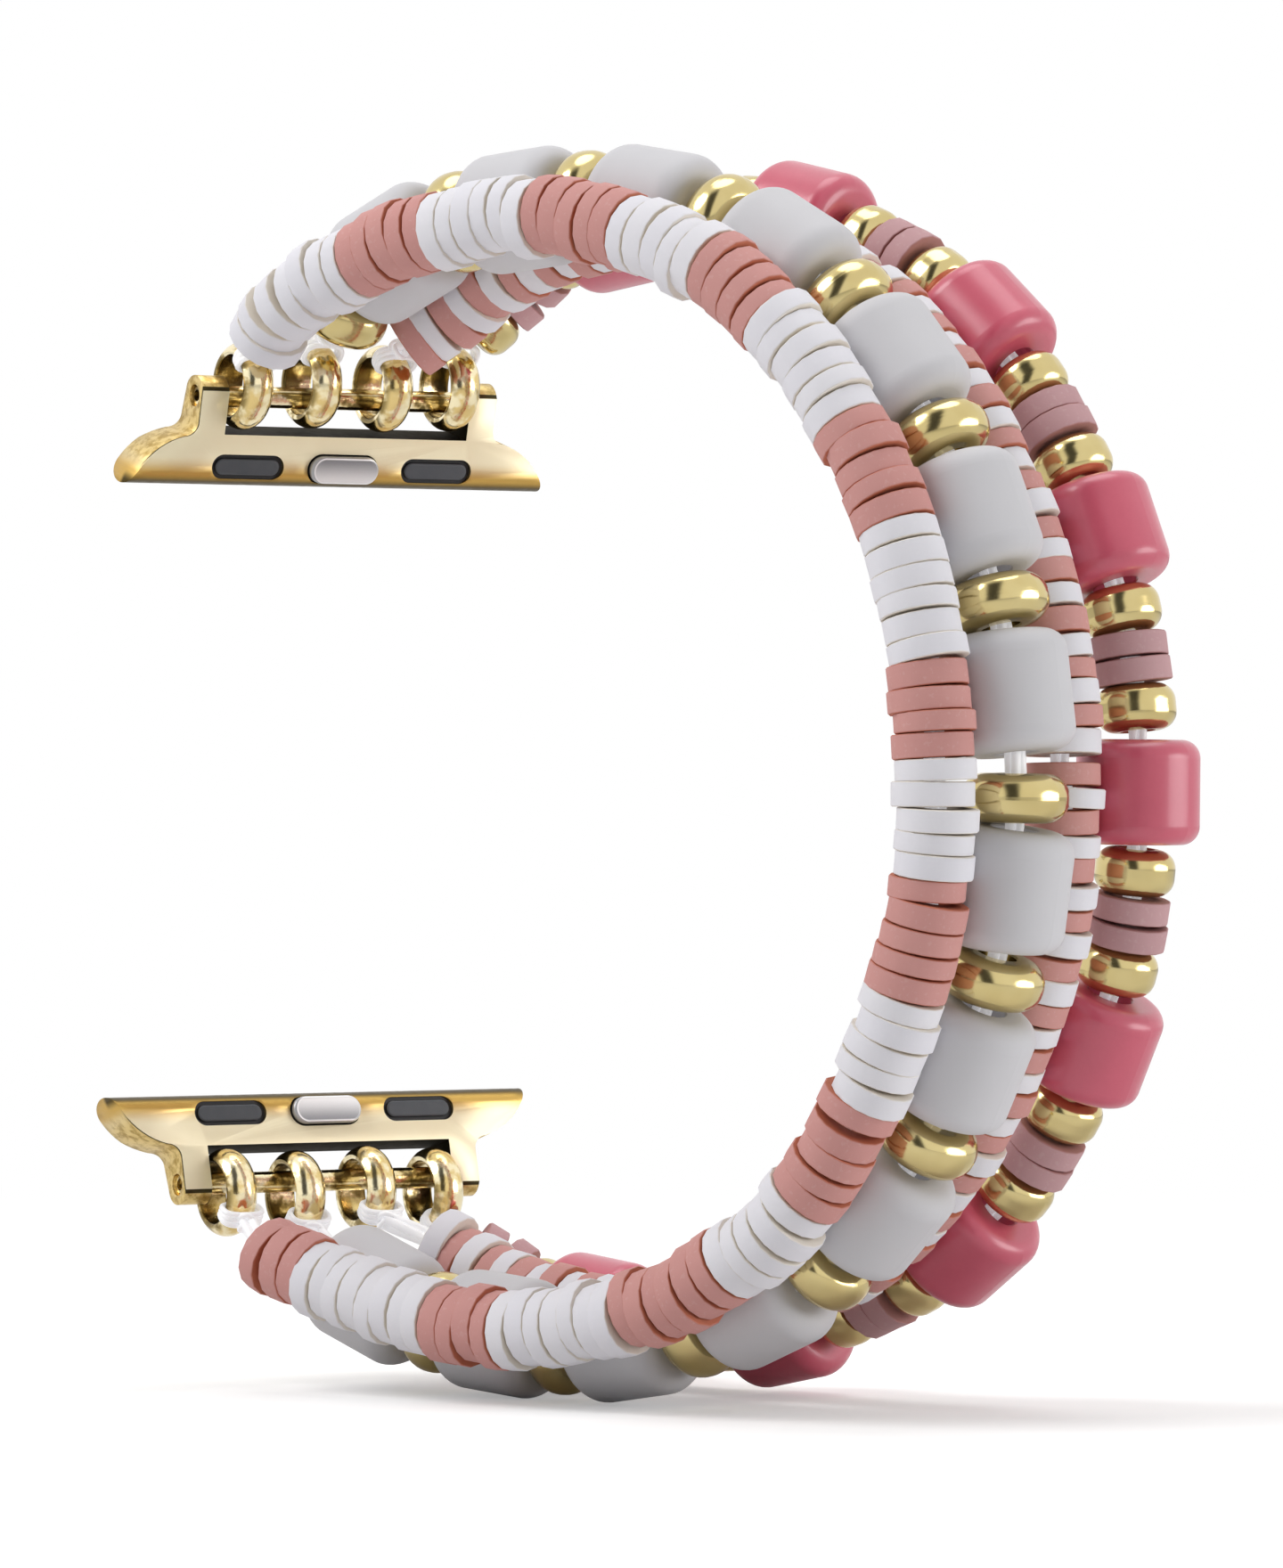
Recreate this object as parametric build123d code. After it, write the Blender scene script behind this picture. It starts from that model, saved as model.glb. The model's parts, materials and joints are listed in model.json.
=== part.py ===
from build123d import *
import math
import os

# Bead watch band, in millimetres: four strands of beads on clear elastic, tied to rings that hang on
# the pins of two metal watch adapters. X runs from the adapters to the far side of the wrist loop, Y
# across the strands and Z from the lower adapter up to the upper one. The origin ends up under the
# middle of the whole band, at its lowest point. "Ahead" means along a strand from its upper ring.

# Wrist loop: the line that the elastic of the flat disc strands follows, seen along Y. Corners and
# pins are shares of the loop's depth and of its height, counted from the middle of the height.
loop_depth = 44.4
loop_height = 55.0
loop_shares = [
    (0.108, 0.438), (0.189, 0.475), (0.306, 0.500), (0.441, 0.509), (0.586, 0.489), (0.725, 0.438),
    (0.840, 0.358), (0.928, 0.251), (0.982, 0.129), (1.000, 0.000), (0.982, -0.129),
    (0.923, -0.249), (0.831, -0.353), (0.721, -0.422), (0.586, -0.465), (0.419, -0.491),
    (0.275, -0.478), (0.162, -0.456), (0.086, -0.431),
]
upper_pin_shares = (-0.0011, 0.3591)
lower_pin_shares = (-0.0282, -0.3709)
arc_share = 0.45
# At the first three corners from either end: how far they follow their ring along X, how far the
# strands have spread from ring spacing to bead spacing, and how much of its lift a strand has.
end_follow_shares = (1.0, 0.5, 0.25)
end_fan_shares = (1.0, 1.0, 1.0)
end_lift_shares = (2.0, 1.9, 1.2)

# Watch adapters, each in a frame of its own: the pin's axis is Y, the face with the latch looks along
# -X and the nose points along -Z. On the band that face looks at the wrist.
adapter_width = 24.0
adapter_thickness = 2.6
plate_depth = 2.85
pin_to_plate = 1.8
nose_depth = 0.95
ear_thickness = 1.9
ear_spread = 0.35
back_run = 0.8
knuckle_radius = 1.04
ear_width = 1.5
ear_gap = 14.0
adapter_skew = 20.0
adapter_tilt = 15.0
wing_neck_shares = [(0.0, 0.72), (0.05, 0.95), (0.2, 1.085)]
wing_tip_share = (0.66, 1.555)
overrun = 1.0

# Pins
pin_diameter = 1.1
pin_fit = 0.01
pin_sink = 0.15
pin_edge = 0.12
dimple_diameter = 0.6
dimple_depth = 0.2

# Rings
ring_bore = 3.1
ring_wall = 0.7
ring_width = 1.65
ring_pitch = 4.03
ring_shoulder_share = 0.36
ring_edge = 0.15
ring_hang = 0.18

# Latch, its spring and cover, and the pads
pill_drop = 1.68
latch_length = 3.9
latch_height = 1.42
latch_stand = 0.35
latch_edge = 0.14
latch_clearance = 0.08
lip_thickness = 0.55
flange_length = 4.8
flange_thickness = 0.4
flange_gap = 0.02
cover_thickness = 0.5
cover_margin = 0.17
cover_fit = 0.01
spring_diameter = 0.9
spring_wire = 0.14
spring_turns = 3
pad_length = 4.1
pad_height = 1.3
pad_spacing = 10.9
pad_pocket = 0.6
pad_sink = 0.2
pad_rim = 0.22
pad_crown = 0.18
pad_edge = 0.12

# Elastic cords and the loops that tie them to the rings
cord_diameter = 1.1
tie_diameter = 0.44
tie_clearance = 0.06
tie_bend = 0.42
tie_spread = 0.18
tie_reach = 0.5
tie_overlap = 0.25

# Beads
strand_gap = 0.02
bead_clearance = 0.035
upper_end_room = 0.5
lower_end_rooms = [1.3, 2.3, 1.7, 1.3]
disc_diameter = 3.86
disc_thickness = 1.01
disc_bore = 1.7
disc_thickness_shares = (1.0, 0.88, 1.08, 0.94, 1.1)
disc_shift_share = 0.6
barrel_diameter = 6.0
barrel_length = 5.78
barrel_bore = 2.2
barrel_edge = 1.1
rondelle_diameter = 5.15
rondelle_length = 2.36
rondelle_bore = 1.9
rondelle_edge = 1.1
pink_diameter = 6.0
pink_length = 5.08
pink_bore = 2.2
pink_edge = 0.9
gold_diameter = 3.9
gold_length = 2.26
gold_bore = 1.6
gold_edge = 0.88
mauve_diameter = 3.8
mauve_length = 1.08
mouth = 0.08
lift_share = 0.9
spare_share = 0.9
fitting_steps = 3

# Order of the beads on each strand, from the upper ring on. The discs of the first strand come in
# blocks, white and pink by turns. Each strand shows some of its elastic at one place.
block_counts = [7, 5, 6, 5, 5, 4, 6, 5, 6, 4, 5, 5, 5, 5, 5, 6, 7, 4, 8, 4]
block_colours = ["white", "pink"]
strand_kinds = [
    [block_colours[at % 2] for at, count in enumerate(block_counts) for _ in range(count)],
    ["rondelle", "barrel"],
    ["pink", "white"],
    ["gold", "mauve", "mauve", "gold", "pink_barrel"],
]
shows_at_shares = [0.645, 0.517, 0.495, 0.5]
elastic_shows = [0.4, 1.2, 0.5, 0.4]

ring_radius = ring_bore / 2 + ring_wall
cord_radius = cord_diameter / 2
strand_pitch = (disc_diameter + barrel_diameter) / 2 + strand_gap
strand_lift = lift_share * (barrel_diameter - disc_diameter) / 2
strand_lifts = [0, strand_lift, 0, strand_lift]
strand_count = len(strand_lifts)
front = -ear_thickness / 2
back = front + adapter_thickness
nose = -pin_to_plate - plate_depth
pill_height = -pin_to_plate - pill_drop
half_turn = 180
eighth_turn = 45
turn_steps = 8


def across(index, pitch):
    """Place of strand or ring number index, counted from 0, beside the middle of them all."""
    return (index - (strand_count - 1) / 2) * pitch


def pill(length, height, y, start, end):
    """A solid with round ends along Y, from x = start to x = end."""
    plane = Plane(origin=(start, y, pill_height), x_dir=(0, 1, 0), z_dir=(1, 0, 0))
    return extrude(plane * SlotOverall(length, height), amount=end - start)


def adapter_envelope():
    """Outer form of an adapter: its side profile run across the width, cut to its front outline."""
    ear = ear_thickness / 2
    crease = math.sqrt(knuckle_radius ** 2 - ear ** 2)
    middle = (front + back) / 2
    bend = nose + nose_depth
    profile = [
        Line((front, bend), (-ear, crease)),
        ThreePointArc((-ear, crease), (0, knuckle_radius), (ear, crease)),
        Polyline((ear, crease), (ear + ear_spread, -pin_to_plate), (back, -pin_to_plate - back_run),
                 (back, bend)),
        EllipticalCenterArc((middle, bend), adapter_thickness / 2, nose_depth,
                            start_angle=180, arc_size=180),
    ]
    side = extrude(Plane.XZ * make_face(profile), amount=adapter_width / 2 + overrun, both=True)

    ear_in = ear_gap / 2
    ear_out = ear_in + ear_width
    flare = adapter_width / 2 - ear_out
    neck = [(ear_out + x * flare, -z * pin_to_plate) for x, z in wing_neck_shares]
    tip = (ear_out + wing_tip_share[0] * flare, -wing_tip_share[1] * pin_to_plate)
    half = [
        Polyline((0, nose), (0, -pin_to_plate), (ear_in, -pin_to_plate), (ear_in, knuckle_radius),
                 (ear_out, knuckle_radius), neck[0]),
        ThreePointArc(*neck),
        ThreePointArc(neck[-1], tip, (adapter_width / 2, nose)),
        Line((adapter_width / 2, nose), (0, nose)),
    ]
    face = make_face(half)
    outline = face + mirror(face, about=Plane.YZ)
    front_form = extrude(Plane.YZ * outline, amount=adapter_thickness + ear_thickness, both=True)
    return side & front_form


def adapter(envelope):
    """The plate with its ears, pin holes, pad pockets, latch opening and cover seat."""
    lip = front + lip_thickness
    seat = back - cover_thickness
    opening_height = latch_height + 2 * latch_clearance
    body = envelope
    body -= pill(latch_length + 2 * latch_clearance, opening_height, 0, front - overrun, lip)
    body -= pill(flange_length + 2 * latch_clearance, opening_height, 0, lip, seat)
    body -= pill(flange_length + 2 * cover_margin + 2 * latch_clearance,
                 opening_height + 2 * cover_margin, 0, seat, back + overrun)
    for side in (-1, 1):
        body -= pill(pad_length, pad_height, side * pad_spacing / 2, front - overrun, front + pad_pocket)
    hole = Plane.XZ * Circle(pin_diameter / 2 + pin_fit)
    body -= extrude(hole, amount=adapter_width, both=True)
    return body


def pin():
    """Straight bar, a little short of the ears' outer faces, with broken edges and end dimples."""
    length = ear_gap + 2 * ear_width - 2 * pin_sink
    bar = chamfer(Cylinder(pin_diameter / 2, length).edges(), pin_edge)
    for end in (-1, 1):
        bar -= Pos(0, 0, end * length / 2) * Cylinder(dimple_diameter / 2, 2 * dimple_depth)
    return Rot(90, 0, 0) * bar


def latch():
    """Button with a rounded front and the flange that holds it behind the lip."""
    shelf = front + lip_thickness + flange_gap
    button = pill(latch_length, latch_height, 0, front - latch_stand, shelf)
    button = fillet(button.edges().group_by(Axis.X)[0], latch_edge)
    return button + pill(flange_length, latch_height, 0, shelf, shelf + flange_thickness)


def latch_spring():
    """Coil between the latch's flange and the cover, each quarter turn an arc."""
    start = front + lip_thickness + flange_gap + flange_thickness + spring_wire / 2 + flange_gap
    end = back - cover_thickness - spring_wire / 2 - flange_gap
    radius = (spring_diameter - spring_wire) / 2
    steps = turn_steps * spring_turns

    def point(step):
        angle = math.radians(step * eighth_turn)
        x = start + (end - start) * step / steps
        return (x, radius * math.cos(angle), pill_height + radius * math.sin(angle))

    arcs = [ThreePointArc(point(at), point(at + 1), point(at + 2)) for at in range(0, steps, 2)]
    return tube(Wire(arcs), spring_wire / 2)


def latch_cover(envelope):
    """Plate pressed into the back, level with it, behind the latch and its spring."""
    length = flange_length + 2 * (cover_margin + latch_clearance - cover_fit)
    height = latch_height + 2 * (cover_margin + latch_clearance - cover_fit)
    return pill(length, height, 0, back - cover_thickness, back + overrun) & envelope


def pads():
    """Two pads in their pockets, each a flat rim with a raised crown."""
    floor = front + pad_pocket
    rim = front + pad_sink
    pair = []
    for side in (-1, 1):
        y = side * pad_spacing / 2
        crown = pill(pad_length - 2 * pad_rim, pad_height - 2 * pad_rim, y, rim - pad_crown, floor)
        crown = fillet(crown.edges().group_by(Axis.X)[0], pad_edge)
        pair.append(crown + pill(pad_length, pad_height, y, rim, floor))
    return pair


def ring():
    """Ring about Z with flat sides, a crowned outside and softened bore edges."""
    bore = ring_bore / 2
    half = ring_width / 2
    shoulder = bore + ring_shoulder_share * ring_wall
    section = make_face([
        Polyline((shoulder, half), (bore, half), (bore, -half), (shoulder, -half)),
        ThreePointArc((shoulder, -half), (ring_radius, 0), (shoulder, half)),
    ])
    section = fillet(section.vertices().group_by(Axis.X)[0], ring_edge)
    return revolve(Plane.XZ * section, Axis.Z)


def bead(diameter, length, bore, edge):
    """Round bead about Z, with rounded rims and a small chamfer at each mouth of its bore."""
    section = Pos((diameter + bore) / 4, 0) * Rectangle((diameter - bore) / 2, length)
    section = fillet(section.vertices().group_by(Axis.X)[-1], edge)
    section = chamfer(section.vertices().group_by(Axis.X)[0], mouth)
    return revolve(Plane.XZ * section, Axis.Z)


def disc(diameter, thickness):
    return extrude(Circle(diameter / 2) - Circle(disc_bore / 2), amount=thickness / 2, both=True)


def tube(path, radius):
    start = Plane(origin=path @ 0, z_dir=path % 0)
    return sweep(start * Circle(radius), path=path)


def rounded_path(points):
    """Straight runs joined by tangent arcs, each as large as its two runs allow, and their radii."""
    edges = []
    radii = []
    leave = points[0]
    for before, corner, after in zip(points, points[1:], points[2:]):
        run_in = (corner - before).normalized()
        run_out = (after - corner).normalized()
        half_turn = math.radians(run_in.get_angle(run_out)) / 2
        setback = arc_share * min((corner - before).length, (after - corner).length)
        radius = setback / math.tan(half_turn)
        enter = corner - run_in * setback
        depth = radius / math.cos(half_turn) - radius
        edges.append(Line(leave, enter))
        leave = corner + run_out * setback
        edges.append(ThreePointArc(enter, corner + (run_out - run_in).normalized() * depth, leave))
        radii.append(radius)
    edges.append(Line(leave, points[-1]))
    return Wire(edges), radii


def pin_frame(shares):
    """Place and direction of a pin: the pins lie level, turned a little across the band."""
    middle = Vector(shares[0] * loop_depth, 0, shares[1] * loop_height)
    turn = math.radians(adapter_skew)
    return middle, Vector(math.sin(turn), math.cos(turn), 0)


def strand_corners(index):
    """Corners of a strand's line, lifted where its beads are larger and fanned out from the rings."""
    places = [Vector(x * loop_depth, 0, z * loop_height) for x, z in loop_shares]
    y = across(index, strand_pitch)
    ring_y = across(index, ring_pitch) * math.cos(math.radians(adapter_skew))
    ring_x = across(index, ring_pitch) * math.sin(math.radians(adapter_skew))
    corners = []
    for at, place in enumerate(places):
        along = places[min(at + 1, len(places) - 1)] - places[max(at - 1, 0)]
        outward = along.cross(Vector(0, 1, 0)).normalized()
        from_end = min(at, len(places) - 1 - at)
        follow = end_follow_shares[from_end] if from_end < len(end_follow_shares) else 0
        fan = end_fan_shares[from_end] if from_end < len(end_fan_shares) else 1
        lift = end_lift_shares[from_end] if from_end < len(end_lift_shares) else 1
        side = Vector(follow * ring_x, ring_y + fan * (y - ring_y), 0)
        corners.append(place + side + outward * lift * strand_lifts[index])
    return corners


def ring_seat(shares, index, corner):
    """Plane of a ring: its normal is the pin, its X points from the pin to the strand that pulls it."""
    middle, along = pin_frame(shares)
    on_pin = middle + along * across(index, ring_pitch)
    pull = corner - on_pin
    pull = (pull - along * pull.dot(along)).normalized()
    hang = ring_bore / 2 - pin_diameter / 2 - ring_hang
    return Plane(origin=on_pin + pull * hang, x_dir=pull, z_dir=along)


def tie(seat):
    """Loop of elastic round one side of a ring, both legs running into the cord."""
    side = ring_width / 2 + tie_diameter / 2 + tie_clearance
    inner = ring_bore / 2 - tie_diameter / 2 - tie_clearance
    top = ring_radius + tie_reach + tie_overlap
    shoulder = ring_radius - tie_clearance
    points = [(top, tie_spread), (shoulder, side), (inner, side), (inner, -side), (shoulder, -side),
              (top, -tie_spread)]
    world = [seat.from_local_coords(Vector(x, 0, z)) for x, z in points]
    return tube(Wire(FilletPolyline(*world, radius=tie_bend).edges()), tie_diameter / 2)


def place_on(path, distance):
    return path.position_at(distance, position_mode=PositionMode.LENGTH)


def room_behind(path, last, kind, cursor, length, clearance):
    """How far a bead at cursor must still move on, so that it clears the last one inside the bend."""
    last_kind, last_start, last_length = last
    behind = seat_of(path, last_start, last_length)
    here = seat_of(path, cursor, length)
    turn = math.radians(behind.z_dir.get_angle(here.z_dir))
    face, edge = min(end_form(kind), end_form(last_kind))
    apart = (place_on(path, cursor) - place_on(path, last_start + last_length)).length
    return max(0, clearance + 2 * face * math.sin(turn / 2) + edge * (1 - math.cos(turn)) - apart)


def string_beads(path, index, clearance, shows_from, shown):
    """Kind, start and length of every bead that fits, set one behind the other along the path."""
    kinds = strand_kinds[index]
    beads = []
    cursor = upper_end_room
    while True:
        at = len(beads)
        kind = kinds[at % len(kinds)]
        length = bead_length(kind, at)
        if at == shows_from:
            cursor += shown
        if cursor + length > path.length:
            break
        if beads:
            for _ in range(fitting_steps):
                cursor += room_behind(path, beads[-1], kind, cursor, length, clearance)
        if cursor + length > path.length - lower_end_rooms[index]:
            break
        beads.append((kind, cursor, length))
        cursor += length
    return beads


def thread(path, index):
    """The beads of a strand. What room they leave is shared out between them, apart from one gap."""
    beads = string_beads(path, index, bead_clearance, 0, 0)
    count = len(beads)
    spare = path.length - lower_end_rooms[index] - beads[-1][1] - beads[-1][2]
    shown = min(elastic_shows[index], spare)
    clearance = bead_clearance + (spare - shown) * spare_share / count
    shows_from = round(shows_at_shares[index] * count)
    return string_beads(path, index, clearance, shows_from, shown)[:count]


def bead_length(kind, at):
    lengths = {"rondelle": rondelle_length, "barrel": barrel_length, "pink_barrel": pink_length,
               "gold": gold_length, "mauve": mauve_length}
    thickness = disc_thickness * disc_thickness_shares[at % len(disc_thickness_shares)]
    return lengths.get(kind, thickness)


def end_form(kind):
    """Radius of the flat end of a bead, where it meets its neighbour inside the bend, and of its rim."""
    forms = {
        "rondelle": (rondelle_diameter / 2 - rondelle_edge, rondelle_edge),
        "barrel": (barrel_diameter / 2 - barrel_edge, barrel_edge),
        "pink_barrel": (pink_diameter / 2 - pink_edge, pink_edge),
        "gold": (gold_diameter / 2 - gold_edge, gold_edge),
        "mauve": (mauve_diameter / 2, 0),
    }
    return forms.get(kind, (disc_diameter / 2, 0))


def seat_of(path, start, length):
    """Plane in the middle of a bead: Z points ahead, X away from the wrist."""
    tail = place_on(path, start)
    head = place_on(path, start + length)
    ahead = head - tail
    return Plane(origin=(tail + head) * 0.5, x_dir=ahead.cross(Vector(0, 1, 0)), z_dir=ahead)


def uneven(at):
    """Small side step of a disc on its cord, never the same twice running."""
    play = (disc_bore - cord_diameter) / 2
    return disc_shift_share * play * math.sin(at * at + at)


shapes = {
    "rondelle": bead(rondelle_diameter, rondelle_length, rondelle_bore, rondelle_edge),
    "barrel": bead(barrel_diameter, barrel_length, barrel_bore, barrel_edge),
    "pink_barrel": bead(pink_diameter, pink_length, pink_bore, pink_edge),
    "gold": bead(gold_diameter, gold_length, gold_bore, gold_edge),
    "mauve": disc(mauve_diameter, mauve_length),
}
discs = [disc(disc_diameter, disc_thickness * share) for share in disc_thickness_shares]
node_of = [
    {"white": "strand_1_white_discs", "pink": "strand_1_pink_discs"},
    {"rondelle": "gold_rondelles"},
    {"white": "strand_3_white_discs", "pink": "strand_3_pink_discs"},
    {"gold": "gold_beads", "mauve": "mauve_discs"},
]

numbered_as = {"barrel": "white_barrel", "pink_barrel": "pink_barrel"}

# Every node's solids by its name, and for what moves, a point on its axis and the axis itself
nodes = {}
pivots = {}
stands = {}


def add_elastic(index):
    """Path of a strand's elastic. Adds its cord, tied to its rings, and the two rings."""
    corners = strand_corners(index)
    seats = {
        "upper": ring_seat(upper_pin_shares, index, corners[0]),
        "lower": ring_seat(lower_pin_shares, index, corners[-1]),
    }
    ends = [seat.from_local_coords(Vector(ring_radius + tie_reach, 0, 0)) for seat in seats.values()]
    path, radii = rounded_path([ends[0], *corners, ends[1]])
    cord = tube(path, cord_radius)
    for side, seat in seats.items():
        cord += tie(seat)
        name = f"{side}_ring_{index + 1}"
        nodes[name] = [seat.location * ring()]
        pivots[name] = (seat.origin, seat.z_dir)
    nodes[f"elastic_cord_{index + 1}"] = [cord]
    print("strand", index + 1, "length", round(path.length, 2))
    print("  arc radii", [round(radius, 1) for radius in radii])
    return path


def add_beads(index, path):
    """Adds the beads of a strand: each barrel as its own node, the others by their kind."""
    counts = {}
    for at, (kind, start, length) in enumerate(thread(path, index)):
        seat = seat_of(path, start, length)
        counts[kind] = counts.get(kind, 0) + 1
        if kind in numbered_as:
            name = f"{numbered_as[kind]}_{counts[kind]}"
            nodes[name] = [seat.location * shapes[kind]]
            pivots[name] = (seat.origin, seat.z_dir)
            continue
        if kind in shapes:
            solid = seat.location * shapes[kind]
        else:
            solid = seat.location * Pos(uneven(at), 0, 0) * discs[at % len(discs)]
        nodes.setdefault(node_of[index][kind], []).append(solid)
    print("  beads", counts)


def add_adapter(side, shares, lean, over):
    """Adds an adapter and what it carries. It leans towards the wrist; the lower one is turned over."""
    middle, along = pin_frame(shares)
    stand = Pos(*middle) * Rot(0, 0, half_turn - adapter_skew) * Rot(0, lean, 0) * Rot(over, 0, 0)
    envelope = adapter_envelope()
    nodes[f"{side}_adapter"] = [stand * adapter(envelope)]
    nodes[f"{side}_pin"] = [stand * pin()]
    nodes[f"{side}_latch"] = [stand * latch()]
    nodes[f"{side}_latch_spring"] = [stand * latch_spring()]
    nodes[f"{side}_latch_cover"] = [stand * latch_cover(envelope)]
    nodes[f"{side}_pads"] = [stand * pad for pad in pads()]
    pivots[f"{side}_adapter"] = (middle, along)
    pivots[f"{side}_latch"] = (middle, Plane(stand).x_dir)
    stands[side] = stand


for index in range(strand_count):
    add_beads(index, add_elastic(index))
add_adapter("upper", upper_pin_shares, -adapter_tilt, 0)
add_adapter("lower", lower_pin_shares, adapter_tilt, half_turn)

for name, (place, direction) in pivots.items():
    print(name, "turns or slides at", [round(value, 3) for value in place],
          "along", [round(value, 3) for value in direction])
for side, stand in stands.items():
    print(side, "adapter stands at", [round(value, 3) for value in stand.position])

box = Compound([solid for solids in nodes.values() for solid in solids]).bounding_box()
shift = Vector(-(box.min.X + box.max.X) / 2, -(box.min.Y + box.max.Y) / 2, -box.min.Z)
print("size", [round(size, 3) for size in box.size], "shift", [round(step, 4) for step in shift])
print("nodes", len(nodes))

os.makedirs("parts", exist_ok=True)
for name, solids in nodes.items():
    placed = [Pos(*shift) * solid for solid in solids]
    shape = placed[0] if len(placed) == 1 else Compound(placed)
    export_step(shape, f"parts/{name}.step")
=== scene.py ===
"""Bead watch band: the looks of each piece, in the order in which the band is put together."""
import json
import math

import bmesh
import bpy
import numpy as np
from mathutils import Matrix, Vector

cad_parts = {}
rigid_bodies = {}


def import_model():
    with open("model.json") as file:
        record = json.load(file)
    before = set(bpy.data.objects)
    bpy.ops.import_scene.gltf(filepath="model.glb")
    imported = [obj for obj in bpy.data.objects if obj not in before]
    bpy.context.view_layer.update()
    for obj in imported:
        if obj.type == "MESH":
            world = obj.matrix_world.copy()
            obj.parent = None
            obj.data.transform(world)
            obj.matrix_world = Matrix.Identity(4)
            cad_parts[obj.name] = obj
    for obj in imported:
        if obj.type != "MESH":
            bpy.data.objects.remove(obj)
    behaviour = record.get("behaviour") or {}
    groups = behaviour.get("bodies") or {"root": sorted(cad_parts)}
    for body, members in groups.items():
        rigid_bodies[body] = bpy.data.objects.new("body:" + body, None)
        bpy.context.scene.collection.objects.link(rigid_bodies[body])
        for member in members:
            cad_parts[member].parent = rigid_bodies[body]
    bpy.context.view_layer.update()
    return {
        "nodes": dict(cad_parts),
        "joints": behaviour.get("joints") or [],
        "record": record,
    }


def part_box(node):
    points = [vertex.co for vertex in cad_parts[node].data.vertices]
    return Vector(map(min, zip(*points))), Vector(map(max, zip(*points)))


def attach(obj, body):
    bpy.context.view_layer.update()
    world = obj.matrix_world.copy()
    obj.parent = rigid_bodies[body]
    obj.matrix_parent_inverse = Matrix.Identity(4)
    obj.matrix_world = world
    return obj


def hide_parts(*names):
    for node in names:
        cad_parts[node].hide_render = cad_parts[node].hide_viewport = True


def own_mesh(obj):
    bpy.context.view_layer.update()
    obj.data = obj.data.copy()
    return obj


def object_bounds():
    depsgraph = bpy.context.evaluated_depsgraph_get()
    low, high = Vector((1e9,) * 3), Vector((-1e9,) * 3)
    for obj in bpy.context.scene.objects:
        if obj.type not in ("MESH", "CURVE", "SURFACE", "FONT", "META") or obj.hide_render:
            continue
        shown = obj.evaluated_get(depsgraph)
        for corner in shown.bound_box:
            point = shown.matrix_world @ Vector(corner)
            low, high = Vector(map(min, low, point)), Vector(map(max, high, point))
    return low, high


for leftover in list(bpy.data.objects):
    bpy.data.objects.remove(leftover)
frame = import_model()

# Watch adapters. Each is one plate of gold-coloured steel, milled with two ears for the pin and a
# rounded nose that slides into the watch case. Its face is satin and pale, its ears and back keep a
# coarser, mottled plating, and its edges are broken.

SIDES = ("upper", "lower")
EDGE_BREAK = 0.00012
SHARP_FROM = math.radians(35)
FLAT_WITHIN = math.radians(0.5)
DOUBLES_WITHIN = 1e-6
HAIR = 0.00001
FRONT_DEPTH = -0.00095
TIP_DEPTH = 0.0004
NOSE_START = 0.0029
NOSE_GOLD_AT = 0.0039
NOSE_END = 0.0044
LEDGE_END = 0.0018
EAR_INSIDE = 0.00702
FACE_GOLD = (1.000, 0.910, 0.640)
FACE_DEEP = (0.990, 0.860, 0.560)
# The nose's deeper gold is partly the plating's tone and partly painted shade; its near-black colour
# is painted shade at the tip.
NOSE_GOLD = (0.640, 0.410, 0.110)
NOSE_PAINTED_SHADE = (0.085, 0.058, 0.015)
SIDE_GOLD = (0.78, 0.59, 0.25)
DEEP_GOLD = (0.46, 0.31, 0.09)
# painted shade: the dark line along the face's broken edge
EDGE_PAINTED_SHADE = (0.055, 0.045, 0.02)
SHADOW_GOLD = (0.022, 0.017, 0.008)


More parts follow.
